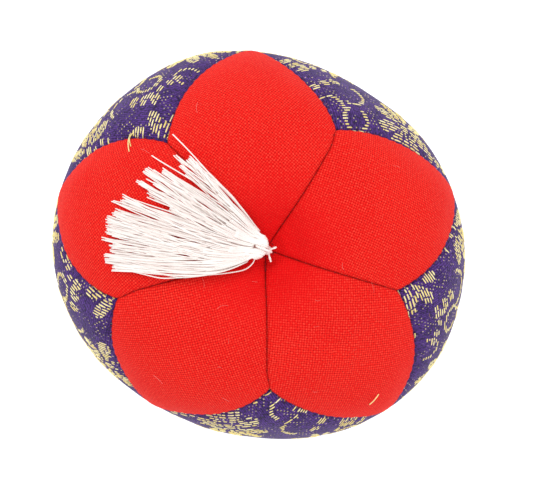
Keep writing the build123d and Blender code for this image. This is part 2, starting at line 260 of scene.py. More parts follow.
def petal_cloth():
    """Plain weave with slubs, with painted shade in the pores between the threads, where the threads dip and
    in the dimple, and a painted highlight on the thread crests.
    """
    g = Graph("petal_cloth")
    uv = g.node("TexCoord", {}, "UV")
    u, v, _ = g.split(g.rotate(uv, THREAD_ANGLE))
    wobble = g.noise(uv, 0.35)
    across = g.times(g.plus(u, g.times(wobble, 0.5)), 1 / THREAD_PITCH)
    along = g.times(g.plus(v, g.times(wobble, -0.5)), 1 / THREAD_PITCH)
    warp, weft = g.threads(g.plus(across, 0.5)), g.threads(g.plus(along, 0.5))
    warp_over = g.times(g.dome(warp), g.ramp(weft, 0.0, 0.3, 0.45, 1.0))
    weft_over = g.times(g.dome(weft), g.ramp(warp, 0.0, 0.3, 0.45, 1.0))
    crossing = g.checks("ROUND", across, along)
    over = g.plus(g.times(crossing, warp_over), g.times(g.math("SUBTRACT", 1.0, crossing), weft_over))
    # Slubs at random, shown only on the thread crests: partly the yarn's own tone, partly a painted highlight
    slub_and_highlight = g.times(g.ramp(g.noise(uv, 2.6), 0.40, 0.64), g.ramp(over, 0.35, 0.95, 0.1, 0.9))
    # Painted shade in the gaps between the threads, stronger in some cells than others
    pore_shade = g.times(g.ramp(warp, 0.0, 0.28, 1.0, 0.0), g.ramp(weft, 0.0, 0.28, 1.0, 0.0))
    pore_shade = g.times(pore_shade, g.ramp(g.chance(across, along), 0.1, 0.9, 0.25, 1.0))
    pore_shade = g.times(pore_shade, g.ramp(g.checks("FLOOR", across, along), 0.0, 1.0, 0.35, 1.0))
    # Distance from the axis, for the painted shade in the dimple
    x, y, _ = g.split(g.node("TexCoord", {}, "Object"))
    reach = g.math("SQRT", g.plus(g.times(x, x), g.times(y, y)))
    tone = g.mix(g.ramp(g.noise(uv, 0.08, 3.0), 0.3, 0.7), (0.80, 0.010, 0.007), (0.84, 0.016, 0.010))
    # Painted highlight with the slub tone, on the thread crests
    tone = g.mix(slub_and_highlight, tone, (0.92, 0.070, 0.042))
    # Painted shade where the threads dip between their crossings
    tone = g.mix(g.ramp(over, 0.2, 0.85, 0.7, 0.0), tone, (0.60, 0.001, 0.003))
    # Painted shade in the pores between the threads
    tone = g.mix(pore_shade, tone, (0.16, 0.0, 0.002))
    # Painted shade in the dimple: the red deepens towards the middle
    tone = g.mix(g.ramp(reach, 3 * MM, 19 * MM, 0.75, 0.0), tone, (0.76, 0.002, 0.005))
    tone = g.seams(tone, 0.2, 1.0, 0.5, (0.36, 0.0, 0.002))
    return g.look(
        tone, g.bump(over, 0.06 * MM), Roughness=0.85, Specular_IOR_Level=0.10,
        Sheen_Weight=0.06, Sheen_Roughness=0.5, Sheen_Tint=(1.0, 0.30, 0.22, 1),
    )


def brocade_ground():
    """Ribbed violet ground with painted shade between the ribs, dark flecks, and small gold dots between the
    floats.
    """
    g = Graph("gore_brocade")
    uv = g.node("TexCoord", {}, "UV")
    u, v, _ = g.split(g.rotate(uv, -FLOAT_ANGLE))
    u = g.plus(u, g.times(g.noise(uv, 0.4), 0.4))
    v = g.times(v, 1 / FLOAT_PITCH)
    rib = g.dome(g.threads(g.times(u, 1 / RIB_PITCH)))
    column = g.plus(g.times(u, 1 / DOT_PITCH), g.times(g.math("FLOOR", v), 0.5))
    off_u, off_v = (
        g.math("ABSOLUTE", g.math("SUBTRACT", g.math("FRACT", place), 0.5)) for place in (column, v)
    )
    dot = g.times(g.ramp(off_u, 0.10, 0.16, 1.0, 0.0), g.ramp(off_v, 0.14, 0.24, 1.0, 0.0))
    dot = g.times(dot, g.math("GREATER_THAN", g.chance(column, v), 0.62))
    dot = g.times(dot, g.times(g.ramp(g.noise(uv, 0.22, 1.0), 0.40, 0.60), 0.85))
    flecks = g.times(g.ramp(g.noise(uv, 1.9, 3.0), 0.47, 0.62), 0.85)
    tone = g.mix(g.ramp(g.noise(uv, 0.3, 3.0), 0.35, 0.65), (0.056, 0.019, 0.160), (0.095, 0.034, 0.245))
    tone = g.mix(g.ramp(g.noise(uv, 3.3), 0.5, 0.75, 0.0, 0.6), tone, (0.20, 0.11, 0.42))
    tone = g.mix(flecks, tone, (0.020, 0.012, 0.040))
    # Painted shade in the grooves between the ribs
    tone = g.mix(g.ramp(rib, 0.15, 0.80, 0.9, 0.0), tone, (0.012, 0.005, 0.030))
    tone = g.mix(dot, tone, (0.80, 0.66, 0.28))
    tone = g.seams(tone, 0.15, 0.9, 0.8, (0.010, 0.004, 0.022))
    normal = g.bump(rib, 0.08 * MM, Normal=g.bump(g.threads(v), 0.03 * MM))
    return g.look(
        tone, normal, Roughness=0.6, Specular_IOR_Level=0.15,
        Sheen_Weight=0.02, Sheen_Tint=(0.65, 0.55, 1.0, 1),
    )


def gold_weft():
    g = Graph("gold_weft")
    fine = g.noise(g.node("TexCoord", {}, "Object"), 9000.0, 1.0)
    tone = g.mix(g.island(), (0.90, 0.72, 0.22), (1.0, 0.92, 0.50))
    tone = g.mix(g.ramp(fine, 0.5, 0.75, 0.0, 0.5), tone, (0.55, 0.36, 0.07))
    return g.look(tone, g.bump(fine, 0.03 * MM, 0.6), Metallic=0.25, Roughness=0.38)


def yarn(name, dark, light, roughness=0.6, sheen=0.2, grain=14000.0, **glow):
    """A thread whose tone varies from strand to strand and along its fibres."""
    g = Graph(name)
    fibre = g.noise(g.node("TexCoord", {}, "Object"), grain)
    tone = g.mix(g.island(), dark, light)
    tone = g.mix(g.ramp(fibre, 0.35, 0.7, 0.3, 0.0), tone, tuple(0.7 * c for c in dark))
    return g.look(tone, g.bump(fibre, 0.03 * MM, 0.5), Roughness=roughness, Sheen_Weight=sheen, **glow)


RED_CLOTH = petal_cloth()
BROCADE = brocade_ground()
GOLD = gold_weft()
RED_THREAD = yarn("petal_thread", (0.14, 0.001, 0.006), (0.42, 0.004, 0.008), 0.8, 0.0)
BLUE_THREAD = yarn("gore_thread", (0.018, 0.010, 0.04), (0.05, 0.03, 0.10), 0.8, 0.0)
TUFT_THREAD = yarn("tuft_thread", (0.06, 0.004, 0.008), (0.12, 0.01, 0.015))
WHITE_THREAD = yarn(  # the glow stands in for light scattered between the threads
    "tassel_thread", (0.96, 0.87, 0.83), (1.0, 0.98, 0.95), 0.6, 0.1,
    Emission_Color=(1.0, 0.66, 0.60, 1), Emission_Strength=0.04,
)
FIBRE = yarn("stuffing_fibre", (0.78, 0.76, 0.70), (0.88, 0.86, 0.82), 0.95, 0.4, 1500.0)


# --- Section of the cushion, from the top dimple over the girth to the bottom dimple ---
def arc(centre, radius, start, end, count=60):
    turn = np.radians(np.linspace(start, end, count))
    return np.stack([centre[0] + radius * np.cos(turn), centre[1] + radius * np.sin(turn)], -1)


section = np.concatenate([
    arc((0.0, MOUTH_Z), MOUTH_ARC, -90, -90 + MOUTH_TURN),
    arc((CROWN_RADIUS, CREST_Z), CREST_ARC, 90 + MOUTH_TURN, 90)[1:],
    arc((CROWN_RADIUS, GIRTH_Z), UPPER_ARC, 90, 0)[1:],
    arc((LOWER_CENTRE, GIRTH_Z), LOWER_ARC, 0, -90)[1:],
    np.stack([np.linspace(LOWER_CENTRE - 0.5, BASE_INNER, 18), np.zeros(18)], -1),
    arc((BASE_INNER, BASE_ROUND), BASE_ROUND, -90, -90 - BASE_TURN)[1:],
    arc((0.0, BASE_ARC_Z), BASE_ARC, 90 - BASE_TURN, 90)[1:],
]) * MM
section_tilt = np.arctan2(section[:, 0], section[:, 1] - CORE[2])
section_slope = unit(np.gradient(section, axis=0))


def surface(rays, outward):
    """Surface points, radii and outward normals for unit vectors from the core."""
    tilt = np.arccos(np.clip(rays[..., 2], -1, 1))
    tracks = (*section.T, *section_slope.T)
    reach, height, run, fall = (np.interp(tilt, section_tilt, values) for values in tracks)
    level = rays * [1, 1, 0]
    size = np.linalg.norm(level, axis=-1, keepdims=True)
    level = np.where(size > 1e-6, level / np.maximum(size, 1e-9), outward)
    reach = np.sqrt(reach**2 + (EYELET * MM) ** 2)
    points = level * reach[..., None] + UPWARD * height[..., None]
    normals = level * -fall[..., None] + UPWARD * run[..., None]
    return points, unit(normals)


def uneven(points):
    """The slight lack of roundness, growing from nothing under the tassel to the girth."""
    heading = np.arctan2(points[..., 1], points[..., 0])
    share = sum(a * np.cos(k * (heading - math.radians(h))) for k, a, h in ROUND_WAVES)
    reach = np.hypot(points[..., 0], points[..., 1])
    grow = 1 + share * smooth_step(22 * MM, 38 * MM, reach)
    return points * np.stack([grow, grow, np.ones_like(grow)], -1)


# --- Panel grids ---
SIDE = 33  # points along each edge of a panel's coarse grid, and of its fine one
FINE = 129
RELAXING = 80
steps = np.linspace(0, 1, SIDE)


def seam_edge(k):
    """From the top pole out to a notch."""
    k %= 5
    hook = SEAM_HOOKS[k] * (1 - smooth_step(0.86, 1.0, steps))
    bow = SEAM_BOWS[k] * (1 - steps) ** 2
    return direction(SEAM_HEADINGS[k] - hook + bow, steps * NOTCH_TILTS[k])


def scallop_edge(k, notch):
    """From a notch to the tip of petal k, drawn on that petal's plane."""
    k, notch = k % 5, notch % 5
    forward = direction(TIP_HEADINGS[k], 90 - CONE_ELEVATION)
    sideways = direction(TIP_HEADINGS[k] + 90, 90.0)
    upward = np.cross(forward, sideways)

    def flat(heading, tilt):
        ray = direction(heading, tilt)
        return np.array([ray @ sideways, ray @ upward]) / (ray @ forward)

    start = flat(SEAM_HEADINGS[notch], NOTCH_TILTS[notch])
    end = flat(TIP_HEADINGS[k], TIP_TILTS[k])
    chord = end - start
    across = np.array([-chord[1], chord[0]])
    if across[1] > 0:
        across = -across
    bow = SCALLOP_BULGE[k] * 4 * steps * (1 - steps)
    spot = start + chord * steps[:, None] + across * bow[:, None]
    return unit(forward + spot[:, :1] * sideways + spot[:, 1:] * upward)


def gore_edge(k):
    """From a petal tip down to the bottom pole."""
    k %= 5
    tilts = TIP_TILTS[k] + (180 - TIP_TILTS[k]) * steps
    return direction(TIP_HEADINGS[k] + 0 * tilts, tilts)


def coons(low_v, high_v, low_u, high_u):
    """Unit vectors filling a four-sided patch, evened out on the sphere."""
    u, v = steps[:, None, None], steps[None, :, None]
    patch = (1 - v) * low_v[:, None] + v * high_v[:, None] + (1 - u) * low_u[None] + u * high_u[None]
    patch -= (1 - u) * (1 - v) * low_v[0] + u * (1 - v) * low_v[-1]
    patch -= (1 - u) * v * high_v[0] + u * v * high_v[-1]
    patch = unit(patch)
    for _ in range(RELAXING):
        patch[1:-1, 1:-1] = unit(
            patch[:-2, 1:-1] + patch[2:, 1:-1] + patch[1:-1, :-2] + patch[1:-1, 2:]
        )
    return patch


def spline_weights(count, fine):
    """Catmull-Rom weights that raise a row of count values to fine values."""
    weights = np.zeros((fine, count))
    for row, t in enumerate(np.linspace(0, count - 1, fine)):
        cell = min(int(t), count - 2)
        f = t - cell
        factors = (
            -0.5 * f**3 + f**2 - 0.5 * f,
            1.5 * f**3 - 2.5 * f**2 + 1,
            -1.5 * f**3 + 2 * f**2 + 0.5 * f,
            0.5 * f**3 - 0.5 * f**2,
        )
        for shift, factor in zip((-1, 0, 1, 2), factors):
            at = cell + shift
            if 0 <= at < count:
                weights[row, at] += factor
            else:  # past an end the row runs straight on
                end, before = (0, 1) if at < 0 else (count - 1, count - 2)
                weights[row, end] += 2 * factor
                weights[row, before] -= factor
    return weights


RAISE = spline_weights(SIDE, FINE)


def raised(grid):
    """The fine grid of a coarse one."""
    return np.einsum("ai,bj,ijc->abc", RAISE, RAISE, grid)


def edge_distance(grid, edge):
    """Distance from every grid point to an edge, and how far along the edge it is."""
    run = np.concatenate([[0], np.cumsum(np.linalg.norm(np.diff(edge, axis=0), axis=1))])
    distance, place = np.empty(grid.shape[:2]), np.empty(grid.shape[:2])
    for i, row in enumerate(grid):
        gaps = np.linalg.norm(row[:, None] - edge[None], axis=2)
        nearest = gaps.argmin(axis=1)
        distance[i] = gaps[np.arange(len(row)), nearest]
        place[i] = run[nearest]
    return distance, place


def edge_rows(grid):
    return grid[:, 0], grid[:, -1], grid[0], grid[-1]


def from_edges(grid):
    return np.min([edge_distance(grid, row)[0] for row in edge_rows(grid)], axis=0)


class Panel:
    """One cloth panel: its grid on the section's surface, and the kind of each edge."""

    def __init__(self, name, edges, kinds, heading):
        self.name, self.kinds = name, kinds * 2
        points, self.normals = surface(coons(*edges), direction(heading, 90.0))
        self.base = uneven(points)


petals, gores = [], []
for k in range(5):
    edges = (seam_edge(k), scallop_edge(k, k + 1), seam_edge(k + 1), scallop_edge(k, k))
    petals.append(Panel(f"petal_{k + 1}", edges, ("seam", "scallop"), TIP_HEADINGS[k]))
    edges = (scallop_edge(k - 1, k), gore_edge(k), scallop_edge(k, k), gore_edge(k - 1))
    gores.append(Panel(f"gore_{k + 1}", edges, ("tuck", "side"), SEAM_HEADINGS[k]))
panels = petals + gores

# --- Cloth simulation: pressure from the stuffing swells the panels between pinned seams ---
SIM_SCALE = 20.0
SIM_FRAMES = 18
SEAM_PULL, SEAM_PULL_WIDTH = 0.55 * MM, 4.5 * MM
SWELL_CAP = 0.45 * MM
WELD = 2e-6  # metres within which the panels' edge points are one
TIP_REACH = 6.5 * MM  # round each petal tip, where the cloth lies taut over the girth


def slack(panel, grid):
    """One away from the petal tips, falling to almost nothing at them."""
    corners = (grid[-1, -1],) if panel in petals else (grid[-1, 0], grid[0, -1])
    closest = np.min([np.linalg.norm(grid - corner, axis=2) for corner in corners], axis=0)
    return 1 - 0.88 * np.exp(-((closest / TIP_REACH) ** 2))


for panel in panels:
    pull = SEAM_PULL * np.exp(-((from_edges(panel.base) / SEAM_PULL_WIDTH) ** 2))
    pull *= slack(panel, panel.base)
    panel.form = panel.base - panel.normals * pull[..., None]


def grid_quads(side):
    """The point numbers of a square grid, and its faces."""
    cell = np.arange(side * side).reshape(side, side)
    return cell, np.stack([cell[:-1, :-1], cell[1:, :-1], cell[1:, 1:], cell[:-1, 1:]], -1).reshape(-1, 4)


# All panels as one closed cloth: shared gives the welded point of each grid point
stacked = np.concatenate([p.form.reshape(-1, 3) for p in panels])
keys = np.round(stacked / WELD).astype(np.int64)
_, first_index, shared = np.unique(keys, axis=0, return_index=True, return_inverse=True)
shared = shared.reshape(10, -1)
cell, quads = grid_quads(SIDE)
rim = np.ones((SIDE, SIDE), bool)
rim[1:-1, 1:-1] = False
welded_faces = [tuple(points[quad]) for points in shared for quad in quads]


def swell():
    mesh = bpy.data.meshes.new("swell")
    mesh.from_pydata([tuple(p) for p in stacked[first_index] * SIM_SCALE], [], welded_faces)
    body = add_object("swell", mesh)
    pinned = body.vertex_groups.new(name="pinned")
    pinned.add(np.unique(shared[:, cell[rim]]).tolist(), 1.0, "REPLACE")
    cloth = body.modifiers.new("cloth", "CLOTH")
    settings = cloth.settings
    settings.vertex_group_mass = "pinned"
    settings.quality = 6
    settings.mass = 0.3
    settings.tension_stiffness = settings.compression_stiffness = 40
    settings.shear_stiffness = 15
    settings.bending_stiffness = 1.5
    settings.use_pressure = True
    settings.uniform_pressure_force = 5.0
    settings.effector_weights.gravity = 0
    scene = bpy.context.scene
    for step in range(1, SIM_FRAMES + 1):
        scene.frame_set(step)
    shaped = body.evaluated_get(bpy.context.evaluated_depsgraph_get()).to_mesh()
    result = np.empty(len(shaped.vertices) * 3)
    shaped.vertices.foreach_get("co", result)
    bpy.data.objects.remove(body)
    scene.frame_set(1)
    return result.reshape(-1, 3) / SIM_SCALE


swollen = swell()[shared].reshape(10, SIDE, SIDE, 3)
for panel, grid in zip(panels, swollen):
    rise = np.sum((grid - panel.form) * panel.normals, axis=2)
    rise = SWELL_CAP * (1 - np.exp(-np.maximum(rise, 0) / SWELL_CAP))
    panel.form = panel.form + panel.normals * rise[..., None]


# --- Fine surface: creases at the seams, puckers at the stitches, soft unevenness ---
def ripples(points, wavelength, seed, waves=10):
    """Soft noise from a few plane waves, about -1 to 1."""
    draw = np.random.default_rng(seed)
    total = np.zeros(points.shape[:2])
    for _ in range(waves):
        way = unit(draw.normal(size=3)) * 2 * math.pi / (wavelength * draw.uniform(0.7, 1.4))
        total += np.sin(points @ way + draw.uniform(0, 2 * math.pi))
    return total / math.sqrt(waves)


STITCH_PITCH = 2.0 * MM
PUCKER_WIDTH = 1.3 * MM
SHADE_WIDTH = 0.30 * MM
# For each kind of edge, in mm: depth at it, how fast that closes, depth of the wide pull,
# its width, pucker at the stitches
CREASES = {
    "seam": (0.70, 0.42, 0.36, 3.2, 0.14),
    "scallop": (0.24, 0.45, 0.20, 3.0, 0.16),
    "tuck": (0.95, 1.1, 0.30, 3.5, 0.14),
    "side": (0.75, 0.8, 0.30, 3.5, 0.16),
}
BASE_LIFT = 0.12 * MM  # the gold floats under the base are this thick
# One soft fold on the fourth petal: from, to, depth, width, and the ridge on each side of it
FURROW_START, FURROW_END = np.array([6.5, -10.0, 44.0]) * MM, np.array([13.0, -18.5, 44.5]) * MM
FURROW_DEPTH, FURROW_WIDTH = 0.38, 1.5
RIDGE_HEIGHT, RIDGE_OFF, RIDGE_WIDTH = 0.14, 2.6, 1.6


def shape_panel(panel, seed):
    fine = raised(panel.form)
    panel.out = unit(raised(panel.normals))
    crease = np.zeros(fine.shape[:2])
    for row, kind in zip(edge_rows(fine), panel.kinds):
        depth, close, pull, wide, pucker = CREASES[kind]
        distance, place = edge_distance(fine, row)
        stitches = 0.5 + 0.5 * np.cos(2 * math.pi * place / STITCH_PITCH)
        if kind == "seam":  # shallower towards the notch
            depth = depth * (1 - 0.5 * smooth_step(0.72, 1.0, place / place.max()))
        if kind == "tuck":  # deeper at the notch
            depth = depth * (1 + 0.45 * (1 - smooth_step(0, 5 * MM, place)))
        dip = depth * np.exp(-distance / (close * MM)) + pull * np.exp(-((distance / (wide * MM)) ** 2))
        crease += (dip + pucker * stitches * np.exp(-distance / PUCKER_WIDTH)) ** 3
    sink = np.cbrt(crease) * slack(panel, fine)
    panel.shade = np.exp(-from_edges(fine) / SHADE_WIDTH)
    reach = np.hypot(fine[..., 0], fine[..., 1]) / MM
    heading = np.arctan2(fine[..., 1], fine[..., 0])
    sink += 0.9 * np.exp(-((reach / 2.2) ** 2)) * (fine[..., 2] > CORE[2])
    gathers = np.sin(9 * heading + 0.7) + 0.8 * np.sin(14 * heading + seed)
    sink += 0.10 * gathers * np.exp(-reach / 4.0)
    sink -= 0.05 * ripples(fine, 11 * MM, seed) + 0.02 * ripples(fine, 4 * MM, seed + 50)
    if panel.name == "petal_4":
        along = FURROW_END - FURROW_START
        t = np.clip(((fine - FURROW_START) @ along) / (along @ along), 0, 1)
        off = np.linalg.norm(fine - FURROW_START - t[..., None] * along, axis=2) / MM
        sink += FURROW_DEPTH * np.exp(-((off / FURROW_WIDTH) ** 2))
        sink -= RIDGE_HEIGHT * np.exp(-(((off - RIDGE_OFF) / RIDGE_WIDTH) ** 2))
    panel.fine = fine - panel.out * (sink * MM)[..., None]
    panel.fine[..., 2] = np.maximum(panel.fine[..., 2], BASE_LIFT)


for number, panel in enumerate(panels):
    shape_panel(panel, number + 1)


# --- Flat pattern of each panel: the grid relaxed in a plane until its lengths are true ---
FLATTEN_ROUNDS = 1500


def flatten(points):
    middle = SIDE // 2
    centre = points[middle, middle]
    outward = unit(np.cross(points[-1, middle] - points[0, middle], points[middle, -1] - points[middle, 0]))
    diagonal = points[0, 0] - points[-1, -1]
    upward = unit(diagonal - outward * np.dot(diagonal, outward))
    sideways = np.cross(upward, outward)
    offset = points - centre
    flat = np.stack([offset @ sideways, offset @ upward], -1)
    reach = np.linalg.norm(offset, axis=2, keepdims=True)
    flat = flat / np.maximum(np.linalg.norm(flat, axis=2, keepdims=True), 1e-9) * reach
    each, low, high = slice(None), slice(0, -1), slice(1, None)
    pairs = (  # neighbours along the grid, across it and on both diagonals
        ((low, each), (high, each)),
        ((each, low), (each, high)),
        ((low, low), (high, high)),
        ((high, low), (low, high)),
    )
    true = [np.linalg.norm(points[a] - points[b], axis=2, keepdims=True) for a, b in pairs]
    for _ in range(FLATTEN_ROUNDS):
        push = np.zeros_like(flat)
        for (a, b), length in zip(pairs, true):
            gap = flat[b] - flat[a]
            now = np.maximum(np.linalg.norm(gap, axis=2, keepdims=True), 1e-9)
            move = gap * (0.5 * (now - length) / now)
            push[a] += move
            push[b] -= move
        flat += push * 0.3
    return flat


for panel in panels:
    flat = flatten(panel.form)
    spine = unit(flat[0, 0] - flat[-1, -1])
    panel.pattern = raised(np.stack([flat @ [spine[1], -spine[0]], flat @ spine], -1) / MM)

# --- Cloth pieces ---
TURN_IN = ((0.10, 0.04), (0.45, 0.10), (1.1, 0.22))  # (down, back from the seam), mm
CLOTH = 0.40 * MM
grid_index, fine_quads = grid_quads(FINE)
border = np.concatenate(
    [grid_index[:-1, 0], grid_index[-1, :-1], grid_index[:0:-1, -1], grid_index[0, :0:-1]]
)


def border_line(values):
    """The values at the border points, and the unit step along the border there."""
    here = values[border]
    return here, unit(np.roll(here, -1, axis=0) - np.roll(here, 1, axis=0))


def polygon_area(outline):
    x, y = outline[:, 0], outline[:, 1]
    return 0.5 * abs(np.dot(x, np.roll(y, -1)) - np.dot(y, np.roll(x, -1)))


def cloth_piece(panel, material):
    """The panel as cloth, with its edges turned in at the seams; sets its flat size."""
    points, pattern = panel.fine.reshape(-1, 3), panel.pattern.reshape(-1, 2)
    normals = panel.out.reshape(-1, 3)[border]
    here, tangent = border_line(points)
    inward = unit(np.cross(normals, tangent))
    flat_here, flat_tangent = border_line(pattern)
    flat_out = np.stack([flat_tangent[:, 1], -flat_tangent[:, 0]], -1)
    rows, maps, faces = [points], [pattern], [tuple(q) for q in fine_quads]
    total, previous = len(points), list(border)
    for down, aside in TURN_IN:
        rows.append(here - normals * down * MM + inward * aside * MM)
        maps.append(flat_here + flat_out * down)
        current = list(range(total, total + len(border)))
        for i in range(len(border)):
            j = (i + 1) % len(border)
            faces.append((previous[j], previous[i], current[i], current[j]))
        previous = current
        total += len(border)
    piece = add_mesh(panel.name + "_cloth", np.concatenate(rows), faces, material)
    shade = piece.data.attributes.new("seam_shade", "FLOAT", "POINT")
    shade.data.foreach_set("value", np.concatenate([panel.shade.ravel(), np.ones(total - len(points))]))
    coordinates = np.concatenate(maps)
    loops = np.empty(len(piece.data.loops), int)
    piece.data.loops.foreach_get("vertex_index", loops)
    piece.data.uv_layers.new(name="pattern").data.foreach_set("uv", coordinates[loops].ravel())
    thickness = piece.modifiers.new("thickness", "SOLIDIFY")
    thickness.thickness = CLOTH
    thickness.offset = -1
    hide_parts(panel.name)
    outline, allowance = flat_here, TURN_IN[-1][0]
    spread = (outline.max(axis=0) - outline.min(axis=0) + 2 * allowance) * MM
    rim_length = np.sum(np.linalg.norm(outline - np.roll(outline, 1, axis=0), axis=1))
    area = (polygon_area(outline) + rim_length * allowance) * MM * MM
    panel.cloth, panel.size = piece, (float(spread[0]), float(spread[1]), float(area))


for panel in petals:
    cloth_piece(panel, RED_CLOTH)
for panel in gores:
    cloth_piece(panel, BROCADE)

# --- Gold floats: short wefts lying on the ground weave in a generic flower and scroll repeat ---
# All in mm, from the middle of a flower
REPEAT_ALONG, REPEAT_ACROSS = 27.0, 21.0
FLOWER_PETALS, FLOWER_TURN, FLOWER_EYE = 9, 12, 1.15
PETAL_OUT, PETAL_BEAD = 5.1, (2.5, 1.30)
STAMEN_OUT, STAMEN_BEAD = 2.15, (0.6, 0.42)
SCROLLS = (  # x, y, radius, width, start heading, sweep
    (13.2, 1.2, 2.55, 0.85, -75, 300),
    (12.4, -5.6, 3.3, 0.8, 60, 170),
    (18.6, -1.6, 3.5, 0.75, 150, 190),
    (9.2, 8.3, 2.6, 0.75, 170, 210),
)
SPRIGS = (  # number of beads, x, y, step in x, step in y, half-length, half-width, heading
    (4, 10.6, 7.2, 2.1, -0.9, 0.95, 0.72, 40),
    (3, 17.6, 5.9, 0.5, -2.4, 1.5, 0.95, 10),
    (3, 13.6, -9.4, 2.5, 0.5, 1.1, 0.8, -30),
)


def bead(x, y, cx, cy, long, short, heading):
    """Positive inside an oval of half-lengths long and short, turned to a heading."""
    c, s = polar(heading)
    along = ((x - cx) * c + (y - cy) * s) / long
    across = ((y - cy) * c - (x - cx) * s) / short
    return 1 - (np.abs(along) ** 2.6 + np.abs(across) ** 2.6)


def scroll(x, y, cx, cy, radius, wide, start, sweep):
    """Positive on an arc-shaped stroke."""
    heading = (np.degrees(np.arctan2(y - cy, x - cx)) - start) % 360
    stroke = wide / 2 - np.abs(np.hypot(x - cx, y - cy) - radius)
    return np.where(heading < sweep, stroke, -1.0)


def motif(x, y):
    """Positive where the gold weft floats, over one repeat centred on a flower."""
    shapes = [FLOWER_EYE - np.hypot(x, y)]
    for petal in range(FLOWER_PETALS):
        heading = petal * 360 / FLOWER_PETALS + FLOWER_TURN
        for out, oval in ((PETAL_OUT, PETAL_BEAD), (STAMEN_OUT, STAMEN_BEAD)):
            shapes.append(bead(x, y, *polar(heading, out), *oval, heading))
    shapes += [scroll(x, y, *stroke) for stroke in SCROLLS]
    for count, cx, cy, right, up, long, short, heading in SPRIGS:
        for step in range(count):
            shapes.append(bead(x, y, cx + right * step, cy + up * step, long, short, heading))
    return np.max(shapes, axis=0)


def repeated(x, y):
    """The half-drop repeat of the motif over the whole cloth."""
    total = np.full(x.shape, -1.0)
    for side in (-1, 0, 1):
        column = np.round(x / REPEAT_ALONG) + side
        centre, drop = column * REPEAT_ALONG, column % 2 * REPEAT_ACROSS / 2
        for row in (-1, 0, 1):
            middle = (np.round((y - drop) / REPEAT_ACROSS) + row) * REPEAT_ACROSS + drop
            total = np.maximum(total, motif(x - centre, y - middle))
    return total


# Where each gore was cut: fabric position, in mm along and across the floats, at its notch
GORE_CUTS = ((18.2, 3.7), (-0.6, 1.2), (0.6, -1.0), (13.6, 7.2), (-1.0, 2.4))
# Sections of a float: (share of its length, half-width, height over the cloth)
FLOAT_SECTIONS = (
    (0.0, 0.12, -0.03), (0.12, 0.21, 0.09), (0.5, 0.235, 0.12), (0.88, 0.21, 0.09), (1.0, 0.12, -0.03)
)
FLOAT_LENGTHS, FLOAT_GAPS = (1.1, 2.4), (0.10, 0.17)
SHORTEST_FLOAT, SHORTEST_REST, LONGEST_FLOAT = 0.28, 0.45, 2.9
EDGE_JITTER, FLOAT_LOSS, FLOAT_FOOT = 0.12, 0.015, 0.05


def gold_floats(panel, cut, seed):
    draw = np.random.default_rng(seed)
    pattern = panel.pattern.reshape(-1, 2)
    triangles = np.concatenate([fine_quads[:, [0, 1, 2]], fine_quads[:, [0, 2, 3]]])
    flat3 = [Vector((x, y, 0.0)) for x, y in pattern.tolist()]
    solid = [Vector(p) for p in panel.fine.reshape(-1, 3).tolist()]
    sheet = BVHTree.FromPolygons(flat3, triangles.tolist())
    c, s = polar(FLOAT_ANGLE)
    notch = pattern[0]

    def on_cloth(along, across):
        x, y = along - cut[0], across - cut[1]
        above = Vector((notch[0] + x * c - y * s, notch[1] + x * s + y * c, 1.0))
        spot, _, face, _ = sheet.ray_cast(above, Vector((0, 0, -1)))
        if spot is None:
            return None
        a, b, d = triangles[face]
        place = barycentric_transform(spot, flat3[a], flat3[b], flat3[d], solid[a], solid[b], solid[d])
        normal = (solid[b] - solid[a]).cross(solid[d] - solid[a])
        return np.array(place), unit(np.array(normal))

    offset = pattern - notch
    turned = np.stack([offset @ [c, s], offset @ [-s, c]], -1) + cut
    low, high = turned.min(axis=0), turned.max(axis=0)
    points, faces = [], []
    for row in np.arange(math.ceil(low[1] / FLOAT_PITCH), high[1] / FLOAT_PITCH):
        across = row * FLOAT_PITCH
        along = np.arange(low[0], high[0], 0.05)
        inside = repeated(along, np.full(along.shape, across)) > draw.normal(0, 0.03)
        changes = np.flatnonzero(np.diff(inside.astype(int)))
        ends = along[changes]
        if inside[0]:
            ends = ends[1:]
        for a, b in zip(ends[::2], ends[1::2]):
            a += draw.normal(0, EDGE_JITTER)
            b += draw.normal(0, EDGE_JITTER)
            while b - a > SHORTEST_FLOAT:
                length = min(draw.uniform(*FLOAT_LENGTHS), b - a)
                if b - a - length < SHORTEST_REST:
                    length = min(b - a, LONGEST_FLOAT)
                spots = [on_cloth(a + t * length, across) for t, _, _ in FLOAT_SECTIONS]
                a += length + draw.uniform(*FLOAT_GAPS)
                if any(spot is None for spot in spots) or draw.uniform() < FLOAT_LOSS:
                    continue
                run = spots[-1][0] - spots[0][0]
                start = len(points)
                fat = draw.uniform(0.9, 1.1)
                for (place, normal), (_, half, rise) in zip(spots, FLOAT_SECTIONS):
                    side = unit(np.cross(normal, run)) * half * fat * MM
                    foot = place - normal * FLOAT_FOOT * MM
                    points += [foot - side, place + normal * rise * MM, foot + side]
                for k in range(start, start + 12, 3):
                    faces += [(k + 1, k, k + 3, k + 4), (k + 2, k + 1, k + 4, k + 5), (k, k + 2, k + 5, k + 3)]
                faces += [(start, start + 1, start + 2), (start + 14, start + 13, start + 12)]
    points = [(x, y, max(z, 0.0)) for x, y, z in points]
    return points, faces


for number, panel in enumerate(gores):
    add_mesh(panel.name + "_gold", *gold_floats(panel, GORE_CUTS[number], 40 + number), GOLD)

